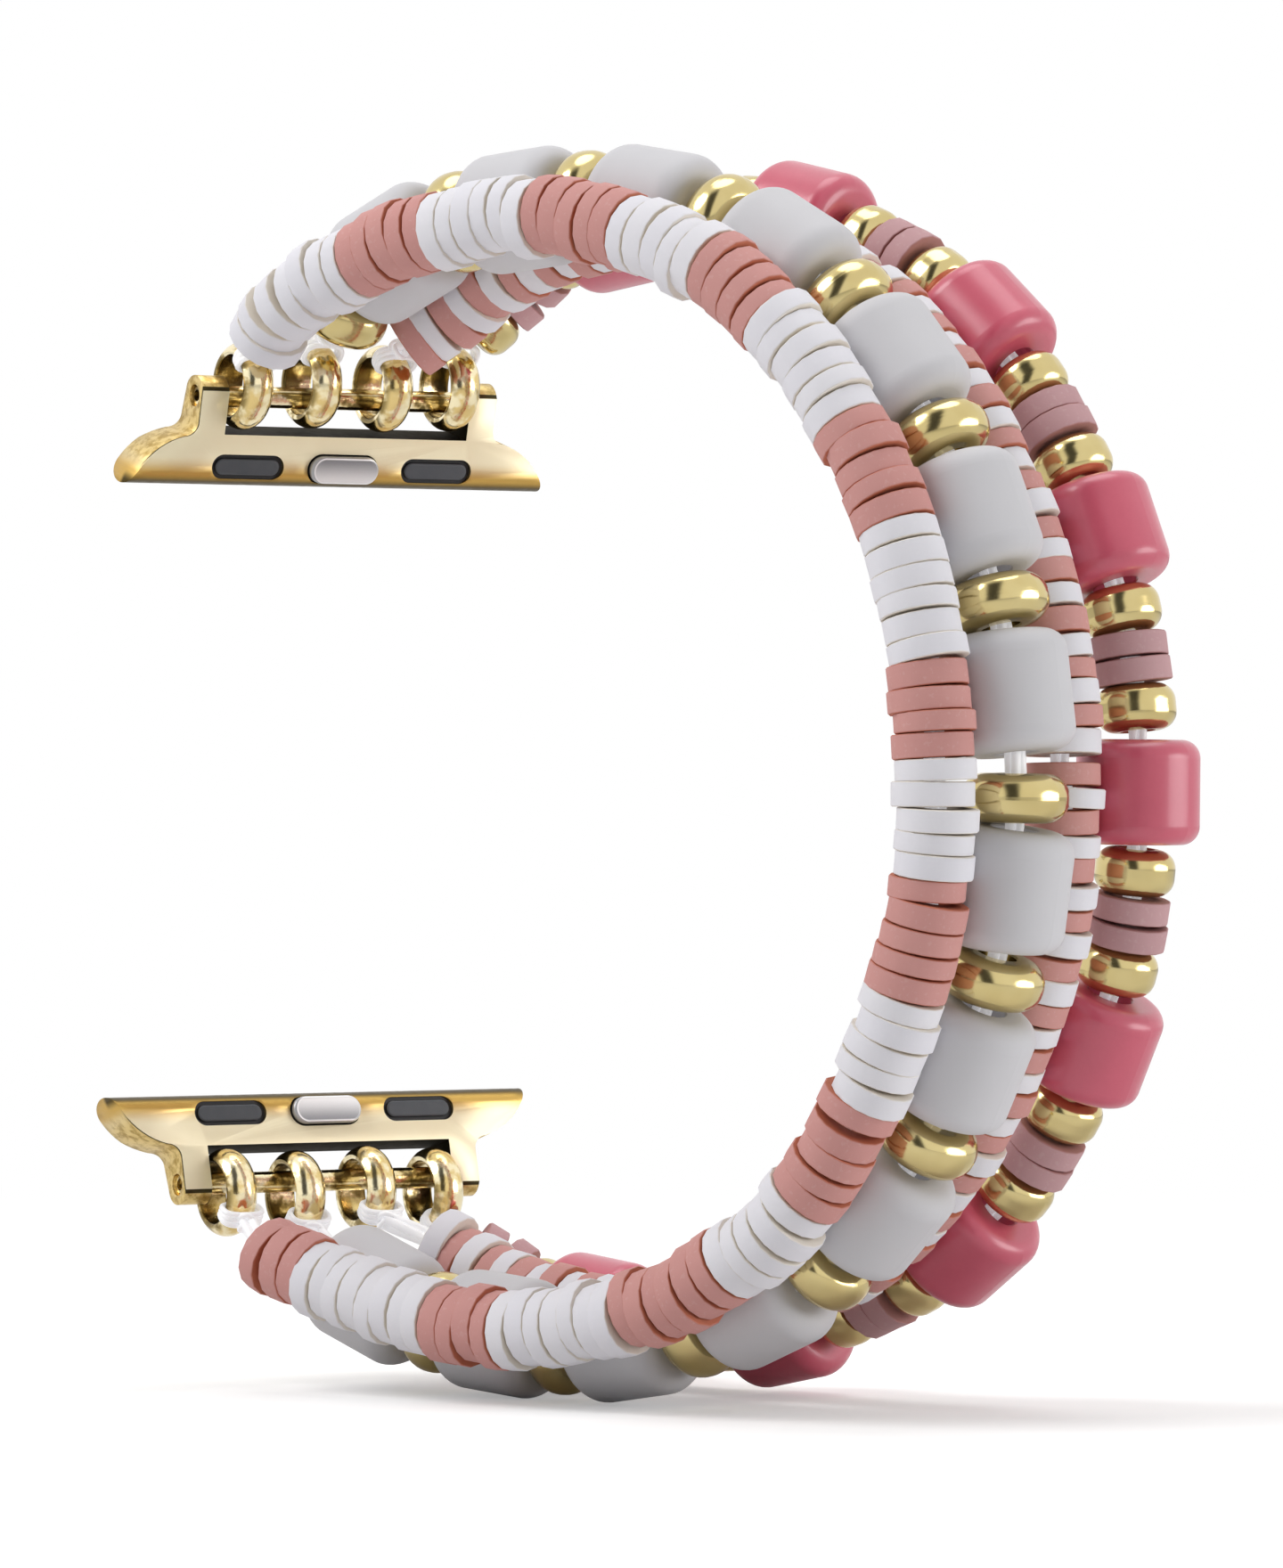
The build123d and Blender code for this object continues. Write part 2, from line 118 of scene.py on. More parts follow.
class Finish:
    """An output of a material's nodes. Python's operators on it add Math nodes for values, and
    Vector Math nodes where a colour or vector takes part."""

    def __init__(self, tree, socket):
        self.tree = tree
        self.socket = socket

    def node(self, kind, settings=None, sockets=None, out=0):
        """Adds a node, makes its settings, then sets or links its sockets; gives one output."""
        added = self.tree.nodes.new("ShaderNode" + kind)
        for key, value in (settings or {}).items():
            setattr(added, key, value)
        for key, value in (sockets or {}).items():
            if isinstance(value, Finish):
                self.tree.links.new(value.socket, added.inputs[key])
            else:
                added.inputs[key].default_value = value
        return Finish(self.tree, added.outputs[out]) if len(added.outputs) else None

    def maths(self, operation, first, second):
        """A Math node if both terms are values, or else a Vector Math node, for which a number
        stands for three equal ones."""
        terms = (first, second)
        plain = all(term.socket.type == "VALUE" if isinstance(term, Finish)
                    else np.isscalar(term) for term in terms)
        if not plain:
            terms = [(term,) * 3 if np.isscalar(term) else term for term in terms]
        kind = "Math" if plain else "VectorMath"
        return self.node(kind, {"operation": operation}, dict(enumerate(terms)))

    def __add__(self, other):
        return self.maths("ADD", self, other)

    def __radd__(self, other):
        return self.maths("ADD", other, self)

    def __sub__(self, other):
        return self.maths("SUBTRACT", self, other)

    def __rsub__(self, other):
        return self.maths("SUBTRACT", other, self)

    def __mul__(self, other):
        return self.maths("MULTIPLY", self, other)

    def __rmul__(self, other):
        return self.maths("MULTIPLY", other, self)

    def alone(self, operation):
        """A Math node that takes one value, such as its square root."""
        return self.node("Math", {"operation": operation}, {0: self})

    def at_least(self, lowest):
        """The value, or lowest where the value is less."""
        return self.maths("MAXIMUM", self, lowest)

    def length(self):
        """Length of a vector."""
        return self.node("VectorMath", {"operation": "LENGTH"}, {0: self}, "Value")

    def along(self, direction):
        """Distance along a direction, for a vector."""
        return self.node("VectorMath", {"operation": "DOT_PRODUCT"},
                         {0: self, 1: tuple(direction)}, "Value")

    def past(self, point, direction):
        """Distance along a direction from a point, for a place."""
        return (self - tuple(point)).along(direction)

    def rise(self, start, end):
        """Smooth step of a value: 0 up to start, 1 from end on."""
        return self.node("MapRange", {"interpolation_type": "SMOOTHSTEP"},
                         {"Value": self, "From Min": start, "From Max": end})

    def grain(self, size, detail=3.0, roughness=0.5):
        """Noise with cells of about this size in metres, on the vector."""
        return self.node("TexNoise", None, {"Vector": self, "Scale": 1 / size, "Detail": detail,
                                            "Roughness": roughness})

    def bump(self, strength, depth):
        """Normal of a surface whose height is the value, depth metres high."""
        return self.node("Bump", None, {"Height": self, "Strength": strength, "Distance": depth})


def blend(share, first, second):
    """Colour that goes from first to second as share goes from 0 to 1. The Mix node's colours are
    its sockets 6 and 7, and output 2."""
    colours = [colour if isinstance(colour, Finish) else (*colour, 1) for colour in (first, second)]
    return share.node("Mix", {"data_type": "RGBA"}, {0: share, 6: colours[0], 7: colours[1]}, 2)


def coordinates(holder, space):
    """Empties the nodes of a material or world and gives its texture coordinates."""
    holder.use_nodes = True
    tree = holder.node_tree
    tree.nodes.clear()
    return Finish(tree, tree.nodes.new("ShaderNodeTexCoord").outputs[space])


def finish(name, recipe):
    """A material whose Principled shader takes what recipe works out from Object coordinates."""
    material = bpy.data.materials.new(name)
    place = coordinates(material, "Object")
    shader = place.node("BsdfPrincipled", None, recipe(place))
    place.node("OutputMaterial", None, {"Surface": shader})
    return material


def coat(nodes, material):
    """Gives a material to CAD nodes whose shape stays."""
    for node in nodes:
        frame["nodes"][node].material_slots[0].material = material


def linked(name, mesh, material):
    """A new piece of this mesh and material in the scene."""
    piece = bpy.data.objects.new(name, mesh)
    bpy.context.scene.collection.objects.link(piece)
    mesh.materials.append(material)
    return piece


def merged_copy(node, name, material, join_flat):
    """Copy of a CAD node with its doubles merged and, where asked, its flat faces joined."""
    shape = bmesh.new()
    shape.from_mesh(frame["nodes"][node].data)
    bmesh.ops.remove_doubles(shape, verts=shape.verts, dist=DOUBLES_WITHIN)
    if join_flat:
        bmesh.ops.dissolve_limit(shape, angle_limit=FLAT_WITHIN, verts=shape.verts,
                                 edges=shape.edges)
    mesh = bpy.data.meshes.new(name)
    shape.to_mesh(mesh)
    shape.free()
    mesh.polygons.foreach_set("use_smooth", np.ones(len(mesh.polygons), dtype=bool))
    return linked(name, mesh, material)


def edge_broken(node, name, width, material):
    """Merged copy of a CAD node whose sharp edges are rounded."""
    piece = merged_copy(node, name, material, True)
    bevel = piece.modifiers.new("Broken edges", "BEVEL")
    bevel.limit_method = "ANGLE"
    bevel.angle_limit = SHARP_FROM
    bevel.width = width
    bevel.segments = 2
    bevel.harden_normals = True
    return piece


joints = {joint["name"]: joint for joint in frame["joints"]}
swings = {side: joints[f"{side}_adapter_swing"] for side in SIDES}
presses = {side: joints[f"{side}_latch_press"] for side in SIDES}
pin_axis = np.array(swings["upper"]["axis"])
pin_place = {side: np.array(swings[side]["pos_m"]) for side in SIDES}
inward = {side: np.array(presses[side]["axis"]) for side in SIDES}
to_nose = {"upper": np.cross(inward["upper"], pin_axis),
           "lower": np.cross(pin_axis, inward["lower"])}


def depth_of(place, side):
    """Distance behind the pin's axis, square to the adapter's face."""
    return place.past(pin_place[side], inward[side])


def satin_gold(side):
    """Satin plate: pale on the face, deeper gold towards the nose, partly the plating's tone and
    partly painted shade, and painted shade near black at its tip; mottled behind the face, with a
    painted dark line of shade along the face's edge and painted shade on the ledge between the ears.
    The sharp borders between them are a few HAIR soft."""
    def recipe(place):
        depth = depth_of(place, side)
        down = place.past(pin_place[side], to_nose[side])
        beside = place.past(pin_place[side], pin_axis)
        face = 1 - depth.rise(FRONT_DEPTH + HAIR, FRONT_DEPTH + 3 * HAIR)
        nose = down.rise(NOSE_START, NOSE_GOLD_AT)
        # painted shade: the nose darkens to near black at its tip, near the face
        tip = down.rise(NOSE_GOLD_AT, NOSE_END) * (1 - depth.rise(0, TIP_DEPTH))
        edge_end = FRONT_DEPTH + EDGE_BREAK
        # painted shade: a dark line along the face's broken edge
        line = (depth.rise(FRONT_DEPTH + HAIR, FRONT_DEPTH + 2 * HAIR)
                * (1 - depth.rise(edge_end, edge_end + 3 * HAIR)) * (1 - nose))
        between = (beside.rise(-EAR_INSIDE, 2 * HAIR - EAR_INSIDE)
                   * (1 - beside.rise(EAR_INSIDE - 2 * HAIR, EAR_INSIDE)))
        ledge = between * (1 - down.rise(LEDGE_END + HAIR, LEDGE_END + 3 * HAIR)) * (1 - face)
        fine = place.grain(0.00005, 4.0, 0.7)
        cloud = place.grain(0.0012, 2.0)
        mottle = place.grain(0.00045, 4.0, 0.6).rise(0.40, 0.66)
        side_gold = blend(mottle, SIDE_GOLD, DEEP_GOLD)
        face_gold = blend(nose, blend(cloud * 0.5, FACE_GOLD, FACE_DEEP), NOSE_GOLD)
        body_gold = blend(tip, blend((1 - face) * (1 - nose), face_gold, side_gold), NOSE_PAINTED_SHADE)
        shown = blend(line, body_gold, EDGE_PAINTED_SHADE)
        return {
            "Base Color": blend(ledge, shown, SHADOW_GOLD),
            "Metallic": 1 - face * (1 - nose) * 0.75,
            "Roughness": 0.30 + fine * 0.1 + (1 - face) * mottle * 0.06 + ledge * 0.4,
            "Normal": (fine * 0.4 + mottle * (1 - face) * 0.5).bump(0.14, 0.00003),
        }
    return finish(f"{side}_satin_gold", recipe)


satin = {side: satin_gold(side) for side in SIDES}
for side in SIDES:
    plate = edge_broken(f"{side}_adapter", f"{side}_adapter_plate", EDGE_BREAK, satin[side])
    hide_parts(f"{side}_adapter")
    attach(plate, f"{side}_adapter")

# Latch buttons, their springs and covers. A stainless button with a fine brushed face stands in
# the plate. Behind it sits a coil spring of drawn wire, and a gold cover pressed into the plate's
# back holds both.

# painted light: shade at one long side of the button, light at the other
STEEL_PAINTED_SHADE = (0.22, 0.225, 0.24)
STEEL_PAINTED_LIGHT = (0.90, 0.90, 0.90)
# painted shade: the dark outline round the button, and the painted shadow at its foot
STEEL_OUTLINE_SHADE = (0.42, 0.42, 0.43)
STEEL_FOOT_SHADOW = (0.03, 0.03, 0.032)
# painted highlight along the button's rim
STEEL_RIM_HIGHLIGHT = (0.95, 0.95, 0.95)
BUTTON_LENGTH = 0.0039
BUTTON_WIDTH = 0.00142
RIM_START = 0.00006
RIM_END = 0.00016
FOOT_HEIGHT = 0.00016
BRUSH_PITCH = 0.00004
BRUSH_LENGTH = 25
WIRE_GREY = (0.50, 0.50, 0.52)
WIRE_PALE = (0.66, 0.66, 0.68)


def brushed_steel(side):
    """Brushed steel with painted light: painted shade at one long side of the button and a painted
    highlight at the other, a painted highlight along its rim, a painted dark outline and a painted
    shadow at its foot. The pill is all places within half its width of its middle line, and inside
    is how far in from its outline a place lies."""
    middle = np.array(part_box(f"{side}_latch")).mean(axis=0)

    def recipe(place):
        lines = (place * (1.0, 1.0 / BRUSH_LENGTH, 1.0)).grain(BRUSH_PITCH, 3.0, 0.6)
        across = place.past(middle, to_nose[side])
        beside = place.past(middle, pin_axis)
        past = (beside.alone("ABSOLUTE") - (BUTTON_LENGTH - BUTTON_WIDTH) / 2).at_least(0)
        inside = BUTTON_WIDTH / 2 - (past * past + across * across).alone("SQRT")
        # painted light: the button darkens towards one long side and lightens towards the other
        down = across.rise(-BUTTON_WIDTH / 2, BUTTON_WIDTH / 2)
        # painted highlight along the button's rim
        rim = 1 - inside.rise(RIM_START, RIM_END)
        shown = blend(down * 0.92 + lines * 0.08, STEEL_PAINTED_SHADE, STEEL_PAINTED_LIGHT)
        # painted shade: a dark outline round the button, and a painted shadow at its foot
        outline_shade = 1 - inside.rise(RIM_START / 3, RIM_START)
        foot_shadow = outline_shade * depth_of(place, side).rise(FRONT_DEPTH - FOOT_HEIGHT, FRONT_DEPTH)
        face = blend(outline_shade, blend(rim, shown, STEEL_RIM_HIGHLIGHT), STEEL_OUTLINE_SHADE)
        return {
            "Base Color": blend(foot_shadow, face, STEEL_FOOT_SHADOW),
            "Metallic": 0.55,
            "Roughness": 0.30 + lines * 0.14,
            "Normal": lines.bump(0.1, 0.00002),
        }
    return finish(f"{side}_brushed_steel", recipe)


def points_of(mesh):
    """The places of a mesh's vertices, a row for each."""
    flat = np.empty(len(mesh.vertices) * 3)
    mesh.vertices.foreach_get("co", flat)
    return flat.reshape(-1, 3)


def spring_wire(place):
    """Drawn steel wire, with a fine cloud of paler spots."""
    draw = place.grain(0.00008, 3.0)
    return {
        "Base Color": blend(draw, WIRE_GREY, WIRE_PALE),
        "Metallic": 1.0,
        "Roughness": 0.24 + draw * 0.12,
    }


drawn_wire = finish("spring_wire", spring_wire)
for side in SIDES:
    coil = merged_copy(f"{side}_latch_spring", f"{side}_coil_spring", drawn_wire, False)
    depths = (points_of(coil.data) - pin_place[side]) @ inward[side]
    travel = presses[side]["range_m"][1]
    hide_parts(f"{side}_latch_spring")
    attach(coil, f"{side}_adapter")
    1 - travel / (depths.max() - depths.min())
    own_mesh(coil)
    coat([f"{side}_latch"], brushed_steel(side))
    coat([f"{side}_latch_cover"], satin[side])

# Friction pads. Two moulded rubber pads in pockets of each plate, either side of the latch, crowned
# and grey on top, with black painted shade in the groove round them.

PAD_GREY = (0.050, 0.056, 0.066)
PAD_WORN = (0.075, 0.080, 0.088)
PAD_GROOVE_SHADE = (0.004, 0.004, 0.005)
GROOVE_START = -0.00088
GROOVE_DARK = -0.00082


def moulded_rubber(side):
    """Grey rubber with a fine skin, painted black as shade where it lies behind GROOVE_START."""
    def recipe(place):
        # painted shade: black in the groove round the pad
        groove = depth_of(place, side).rise(GROOVE_START, GROOVE_DARK)
        skin = place.grain(0.00006, 3.0, 0.6)
        tone = blend(place.grain(0.0008, 2.0), PAD_GREY, PAD_WORN)
        return {
            "Base Color": blend(groove, tone, PAD_GROOVE_SHADE),
            "Roughness": 0.42 + skin * 0.2,
            "Normal": skin.bump(0.25, 0.00002),
        }
    return finish(f"{side}_moulded_rubber", recipe)


for side in SIDES:
    coat([f"{side}_pads"], moulded_rubber(side))

# Pins and rings. A straight bar through the ears of each adapter carries four closed rings, one for
# each strand, all in bright gold plate. The rings' outer band is polished pale; inside and at their
# edges, painted dark reflection makes the plating dark and mottled, and the pins carry it in
# patches.

RINGS = (1, 2, 3, 4)
PLATE_GOLD = (0.80, 0.60, 0.25)
PLATE_CREAM = (0.98, 0.86, 0.56)
# painted dark reflection, mottled, in the rings' bores and edges and in patches on the pins
PLATE_DARK_REFLECTION = (0.070, 0.045, 0.010)
BORE_START = 0.00150
BORE_END = 0.00178
BAND_EDGE = 0.00052
BAND_SIDE = 0.00080


def bright_plate(place, shade, patch):
    """Polished plate: cream, gold in patches, and painted dark olive reflection where shade is 1."""
    ripple = place.grain(0.0004, 2.0)
    gold = blend(patch.rise(0.40, 0.56), PLATE_CREAM, PLATE_GOLD)
    return {
        "Base Color": blend(shade, gold, PLATE_DARK_REFLECTION),
        "Metallic": 1.0,
        "Roughness": 0.12 + ripple * 0.08 + shade * 0.1,
        "Normal": (ripple + patch * 0.5).bump(0.25, 0.00005),
    }


def pin_plate(place):
    """Bright plate, with painted dark reflection in patches."""
    patch = place.grain(0.0012, 3.0, 0.55)
    return bright_plate(place, patch.rise(0.48, 0.60) * 0.86, patch)


def ring_plate(ring):
    """Bright plate, with painted dark reflection in the bore, whose places lie within BORE_END of
    the ring's axis, and at the band's edges, which lie BAND_EDGE and more to either side of its
    middle."""
    spin = joints[f"{ring}_spin"]

    def recipe(place):
        patch = place.grain(0.0011, 3.0, 0.55)
        spoke = place - tuple(spin["pos_m"])
        beside = spoke.along(spin["axis"])
        reach = spoke.length()
        bore = 1 - (reach * reach - beside * beside).rise(BORE_START ** 2, BORE_END ** 2)
        edge = (beside * beside).rise(BAND_EDGE ** 2, BAND_SIDE ** 2)
        mottle = patch.rise(0.40, 0.58)
        # painted dark reflection in the bore and at the band's edges
        shade = bore * mottle * 0.9 + (1 - bore) * edge * mottle * 0.7
        return bright_plate(place, shade, patch)
    return finish(f"{ring}_plate", recipe)


coat(["upper_pin", "lower_pin"], finish("pin_plate", pin_plate))
for side in SIDES:
    for number in RINGS:
        coat([f"{side}_ring_{number}"], ring_plate(f"{side}_ring_{number}"))

# Elastic. Each strand is strung on four clear, thin filaments that run side by side with a slow
# twist, wrap round an upper and a lower ring and are knotted beside it.

ELASTIC_WHITE = (0.92, 0.92, 0.93)
ELASTIC_CLEAR = (0.98, 0.98, 0.98)
# painted light: a faint glow that keeps the elastic pale in shade
ELASTIC_PAINTED_GLOW = (0.9, 0.9, 0.95, 1)
FILAMENTS = 4
FILAMENT_RADIUS = 0.00023
FILAMENT_SPREAD = 0.00029
TWIST_LENGTH = 0.026
LINE_STEP = 0.0006
WRAP_RADIUS = 0.00015
WRAP_TURNS = (-0.13, 0.0, 0.13)
WRAP_POINTS = 40
WRAP_POWER = 0.72
RING_MIDDLE = 0.0019
WRAP_REACH = 0.00061
WRAP_SIDE = 0.00104
KNOT_PLACE = 0.00272
KNOT_SIZE = 0.00017
KNOT_WIDTH = 2.1
KNOT_DEPTH = 1.2
KNOT_RADIUS = 0.000135
KNOT_POINTS = 72
TUBE_SIDES = 8
ASLANT = (0.31, 0.83, 0.17)
BAND_ACROSS = (0.0, 1.0, 0.0)
BAND_MIDDLE = np.array(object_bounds()).mean(axis=0)
WHITE_BARRELS = [node for node in frame["nodes"] if node.startswith("white_barrel")]
PINK_BARRELS = [node for node in frame["nodes"] if node.startswith("pink_barrel")]
BEADS_OF = {
    1: ["strand_1_white_discs", "strand_1_pink_discs"],
    2: ["gold_rondelles", *WHITE_BARRELS],
    3: ["strand_3_white_discs", "strand_3_pink_discs"],
    4: ["gold_beads", "mauve_discs", *PINK_BARRELS],
}
solid_counts = frame["record"]["physics"]["collision_pieces"]


def corners_of(node):
    """The corners of a node's solids, which are alike: corner (i, j) is corner j of solid i."""
    return points_of(frame["nodes"][node].data).reshape(solid_counts.get(node, 1), -1, 3)


def unit(vectors):
    """Each vector over its length."""
    return vectors / np.linalg.norm(vectors, axis=-1, keepdims=True)


def mesh_of(name, points, quads):
    """A mesh from arrays of points and of quads, smooth."""
    mesh = bpy.data.meshes.new(name)
    mesh.vertices.add(len(points))
    mesh.vertices.foreach_set("co", points.ravel())
    mesh.loops.add(quads.size)
    mesh.loops.foreach_set("vertex_index", quads.ravel())
    mesh.polygons.add(len(quads))
    mesh.polygons.foreach_set("loop_start", np.arange(len(quads)) * 4)
    mesh.update(calc_edges=True)
    mesh.shade_smooth()
    return mesh


def once_round(count):
    """Angles that go once round in equal steps."""
    return np.arange(count) / count * 2 * np.pi


def fan(first, second, count):
    """Directions once round: (i, j) is first i cos a_j + second i sin a_j."""
    angle = once_round(count)[None, :, None]
    return first[:, None] * np.cos(angle) + second[:, None] * np.sin(angle)


def grid_quads(rows, sides, closed):
    """Quads of a grid of points in rows, each of which joins its own end. A closed grid's last row
    also joins the first."""
    row, step = np.meshgrid(np.arange(rows if closed else rows - 1), np.arange(sides),
                            indexing="ij")
    this, above, turn = row * sides, (row + 1) % rows * sides, (step + 1) % sides
    return np.stack([this + step, this + turn, above + turn, above + step],
                    axis=-1).reshape(-1, 4)


def tube(path, radius, closed):
    """Points and quads of a tube: point (i, j) is path i + radius (n cos a_j + b sin a_j), where n
    is what of one slanting direction is square to the path, and b is square to both."""
    if closed:
        along = unit(np.roll(path, -1, axis=0) - np.roll(path, 1, axis=0))
    else:
        along = unit(np.gradient(path, axis=0))
    slanting = along[0] + ASLANT
    normal = unit(slanting - (along * slanting).sum(axis=1, keepdims=True) * along)
    points = path[:, None] + radius * fan(normal, np.cross(along, normal), TUBE_SIDES)
    return points.reshape(-1, 3), grid_quads(len(path), TUBE_SIDES, closed)


def joined(parts):
    """One set of points and quads from several."""
    starts = np.cumsum([0] + [len(points) for points, _ in parts[:-1]])
    return (np.concatenate([points for points, _ in parts]),
            np.concatenate([quads + start for start, (_, quads) in zip(starts, parts)]))


def ring_frame(side, strand, first_bead):
    """Middle of a ring, its axis, and the direction in which its strand pulls it."""
    joint = joints[f"{side}_ring_{strand}_spin"]
    middle, axis = np.array(joint["pos_m"]), np.array(joint["axis"])
    pull = first_bead - middle
    return middle, axis, unit(pull - axis * pull.dot(axis))


def wraps(middle, axis, pull):
    """Turns of elastic round one side of a ring: superellipses in the plane of pull and axis, with
    cos a and sin a to WRAP_POWER and their signs kept, each turned a little about the axis."""
    wave = np.stack([np.cos(once_round(WRAP_POINTS)), np.sin(once_round(WRAP_POINTS))])
    reach, beside = np.sign(wave) * np.abs(wave) ** WRAP_POWER
    across = np.cross(axis, pull)
    for turn in WRAP_TURNS:
        ahead = pull * math.cos(turn) + across * math.sin(turn)
        path = (middle + ahead * RING_MIDDLE + reach[:, None] * ahead * WRAP_REACH
                + beside[:, None] * axis * WRAP_SIDE)
        yield tube(path, WRAP_RADIUS, True)


def knot(middle, axis, pull):
    """Overhand knot: a trefoil on a torus, r = KNOT_WIDTH + cos 3a, turned by 2a about the pull,
    and KNOT_DEPTH sin 3a along it, all times KNOT_SIZE."""
    angle = once_round(KNOT_POINTS)
    wide = (KNOT_WIDTH + np.cos(3 * angle)) * KNOT_SIZE
    across = np.cross(axis, pull)
    path = (middle + pull * KNOT_PLACE + (wide * np.cos(2 * angle))[:, None] * axis
            + (wide * np.sin(2 * angle))[:, None] * across
            + (np.sin(3 * angle) * KNOT_SIZE * KNOT_DEPTH)[:, None] * pull)
    return tube(path, KNOT_RADIUS, True)


def clear_elastic(place):
    """Milky elastic, a little clear, with a faint painted glow so that it stays pale in shade."""
    cloud = place.grain(0.0009, 2.0)
    return {
        "Base Color": blend(cloud, ELASTIC_WHITE, ELASTIC_CLEAR),
        "Roughness": 0.32 + cloud * 0.12,
        "Transmission Weight": 0.15,
        "IOR": 1.45,
        # painted light: a faint glow that keeps the elastic pale in shade
        "Emission Color": ELASTIC_PAINTED_GLOW,
        "Emission Strength": 0.16,
    }


def strung(beads):
    """The middles of a strand's beads, from the upper adapter round to the lower one."""
    middles = np.concatenate([corners_of(node).mean(axis=1) for node in beads])
    outward = middles - BAND_MIDDLE
    return middles[np.argsort(-np.arctan2(outward[:, 2], outward[:, 0]))]


def smooth_line(points):
    """Points along a line through the given ones, LINE_STEP apart, and how far along each is.
    Between two given points the line is the cubic p0 (1+2t)(1-t)^2 + m0 t(1-t)^2 + p1 t^2(3-2t)
    - m1 t^2(1-t), whose slopes m follow the neighbours."""
    reach = np.concatenate([[0], np.cumsum(np.linalg.norm(np.diff(points, axis=0), axis=1))])
    slope = np.gradient(points, reach, axis=0)
    at = np.linspace(0, reach[-1], int(reach[-1] / LINE_STEP))
    span = np.clip(np.searchsorted(reach, at, side="right") - 1, 0, len(points) - 2)
    long = (reach[span + 1] - reach[span])[:, None]
    t = (at - reach[span])[:, None] / long
    line = (points[span] * (1 + 2 * t) * (1 - t) ** 2 + points[span + 1] * t ** 2 * (3 - 2 * t)
            + slope[span] * long * t * (1 - t) ** 2 - slope[span + 1] * long * t ** 2 * (1 - t))
    return at, line


elastic = finish("clear_elastic", clear_elastic)
for strand, beads in BEADS_OF.items():
    middles = strung(beads)
    upper = ring_frame("upper", strand, middles[0])
    lower = ring_frame("lower", strand, middles[-1])
    knots = [middle + pull * KNOT_PLACE for middle, _, pull in (upper, lower)]
    at, core = smooth_line(np.vstack([knots[0], middles, knots[1]]))
    along = unit(np.gradient(core, axis=0))
    sideways = unit(np.cross(along, BAND_ACROSS))
    upright = np.cross(along, sideways)
    parts = [*wraps(*upper), knot(*upper), *wraps(*lower), knot(*lower)]
    for filament in range(FILAMENTS):
        turn = (at / TWIST_LENGTH + filament / FILAMENTS) * 2 * np.pi
        offset = sideways * np.cos(turn)[:, None] + upright * np.sin(turn)[:, None]
        parts.append(tube(core + offset * FILAMENT_SPREAD, FILAMENT_RADIUS, False))
    name = f"strand_{strand}_filaments"
    cord = linked(name, mesh_of(name, *joined(parts)), elastic)
    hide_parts(f"elastic_cord_{strand}")
    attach(cord, "strands")

# Clay discs. Flat discs cut from rolled polymer clay, white and dusty pink on strands 1 and 3, and
# mauve on strand 4. Their rims are soft, and they differ a little in size and sit a little askew.

DISC_SIDES = 16
DISC_BORE = 0.00085
RIM_ROUND = 0.00007
SQUEEZE = 0.00004
SIZE_SPREAD = 0.026
MOST_SPREAD = 1.6 * SIZE_SPREAD
ASKEW = 0.026
MOST_ASKEW = 2 * ASKEW
IS_END = np.array([0, 0, 1, 1, 1, 1.0])
# Each clay's edge colour is painted seam shade, tinted warm, on the disc ends where discs meet.
CLAYS = {
    "white_clay": {"body": (0.775, 0.760, 0.790), "edge": (0.80, 0.74, 0.66),
                   "deep": (0.72, 0.71, 0.77)},
    "pink_clay": {"body": (0.605, 0.298, 0.272), "edge": (0.50, 0.15, 0.08),
                  "deep": (0.55, 0.255, 0.235)},
    "mauve_clay": {"body": (0.570, 0.340, 0.350), "edge": (0.40, 0.18, 0.17),
                   "deep": (0.450, 0.250, 0.265)},
}
CLAY_FLECK = (0.95, 0.93, 0.92)
CLAY_OF = {
    "strand_1_white_discs": "white_clay",
    "strand_1_pink_discs": "pink_clay",
    "strand_3_white_discs": "white_clay",
    "strand_3_pink_discs": "pink_clay",
    "mauve_discs": "mauve_clay",
}
draws = np.random.default_rng(11)


def square_to(axes):
    """Two directions for each axis, square to it and to each other. The first is square to the
    band's width too."""
    first = unit(np.cross(BAND_ACROSS, axes))
    return first, np.cross(axes, first)


def cut_discs(centres, axes, halves, radius):
    """Discs about their own axes w: point (i, j) of a disc is its centre + r_i (u cos a_j
    + v sin a_j) + h_i w, where (r, h) goes up the rim, in over one end, down the bore and out over
    the other end. Gives points, quads, whether a point is at an end, and the tone of its disc."""
    count = len(centres)
    tilt = draws.normal(0, ASKEW, (count, 2)).clip(-MOST_ASKEW, MOST_ASKEW)
    size = 1 + draws.normal(0, SIZE_SPREAD, count).clip(-MOST_SPREAD, MOST_SPREAD)
    tone = draws.uniform(0, 1, count)
    first, second = square_to(axes)
    axes = unit(axes + tilt[:, :1] * first + tilt[:, 1:] * second)
    spoke = fan(*square_to(axes), DISC_SIDES)
    wide, bore = radius * size, np.full(count, DISC_BORE)
    end, rim = wide - RIM_ROUND, halves - RIM_ROUND
    across = np.stack([wide, wide, end, bore, bore, end], axis=1)
    up = np.stack([-rim, rim, halves, halves, -halves, -halves], axis=1)
    points = (centres[:, None, None] + across[:, :, None, None] * spoke[:, None]
              + (up[:, :, None] * axes[:, None])[:, :, None])
    rows = len(IS_END)
    quad = grid_quads(rows, DISC_SIDES, True)
    quads = (quad + (np.arange(count) * rows * DISC_SIDES)[:, None, None]).reshape(-1, 4)
    ends = np.broadcast_to(IS_END[None, :, None], (count, rows, DISC_SIDES))
    tones = np.broadcast_to(tone[:, None, None], ends.shape)
    return points.reshape(-1, 3), quads, ends.ravel(), tones.ravel()


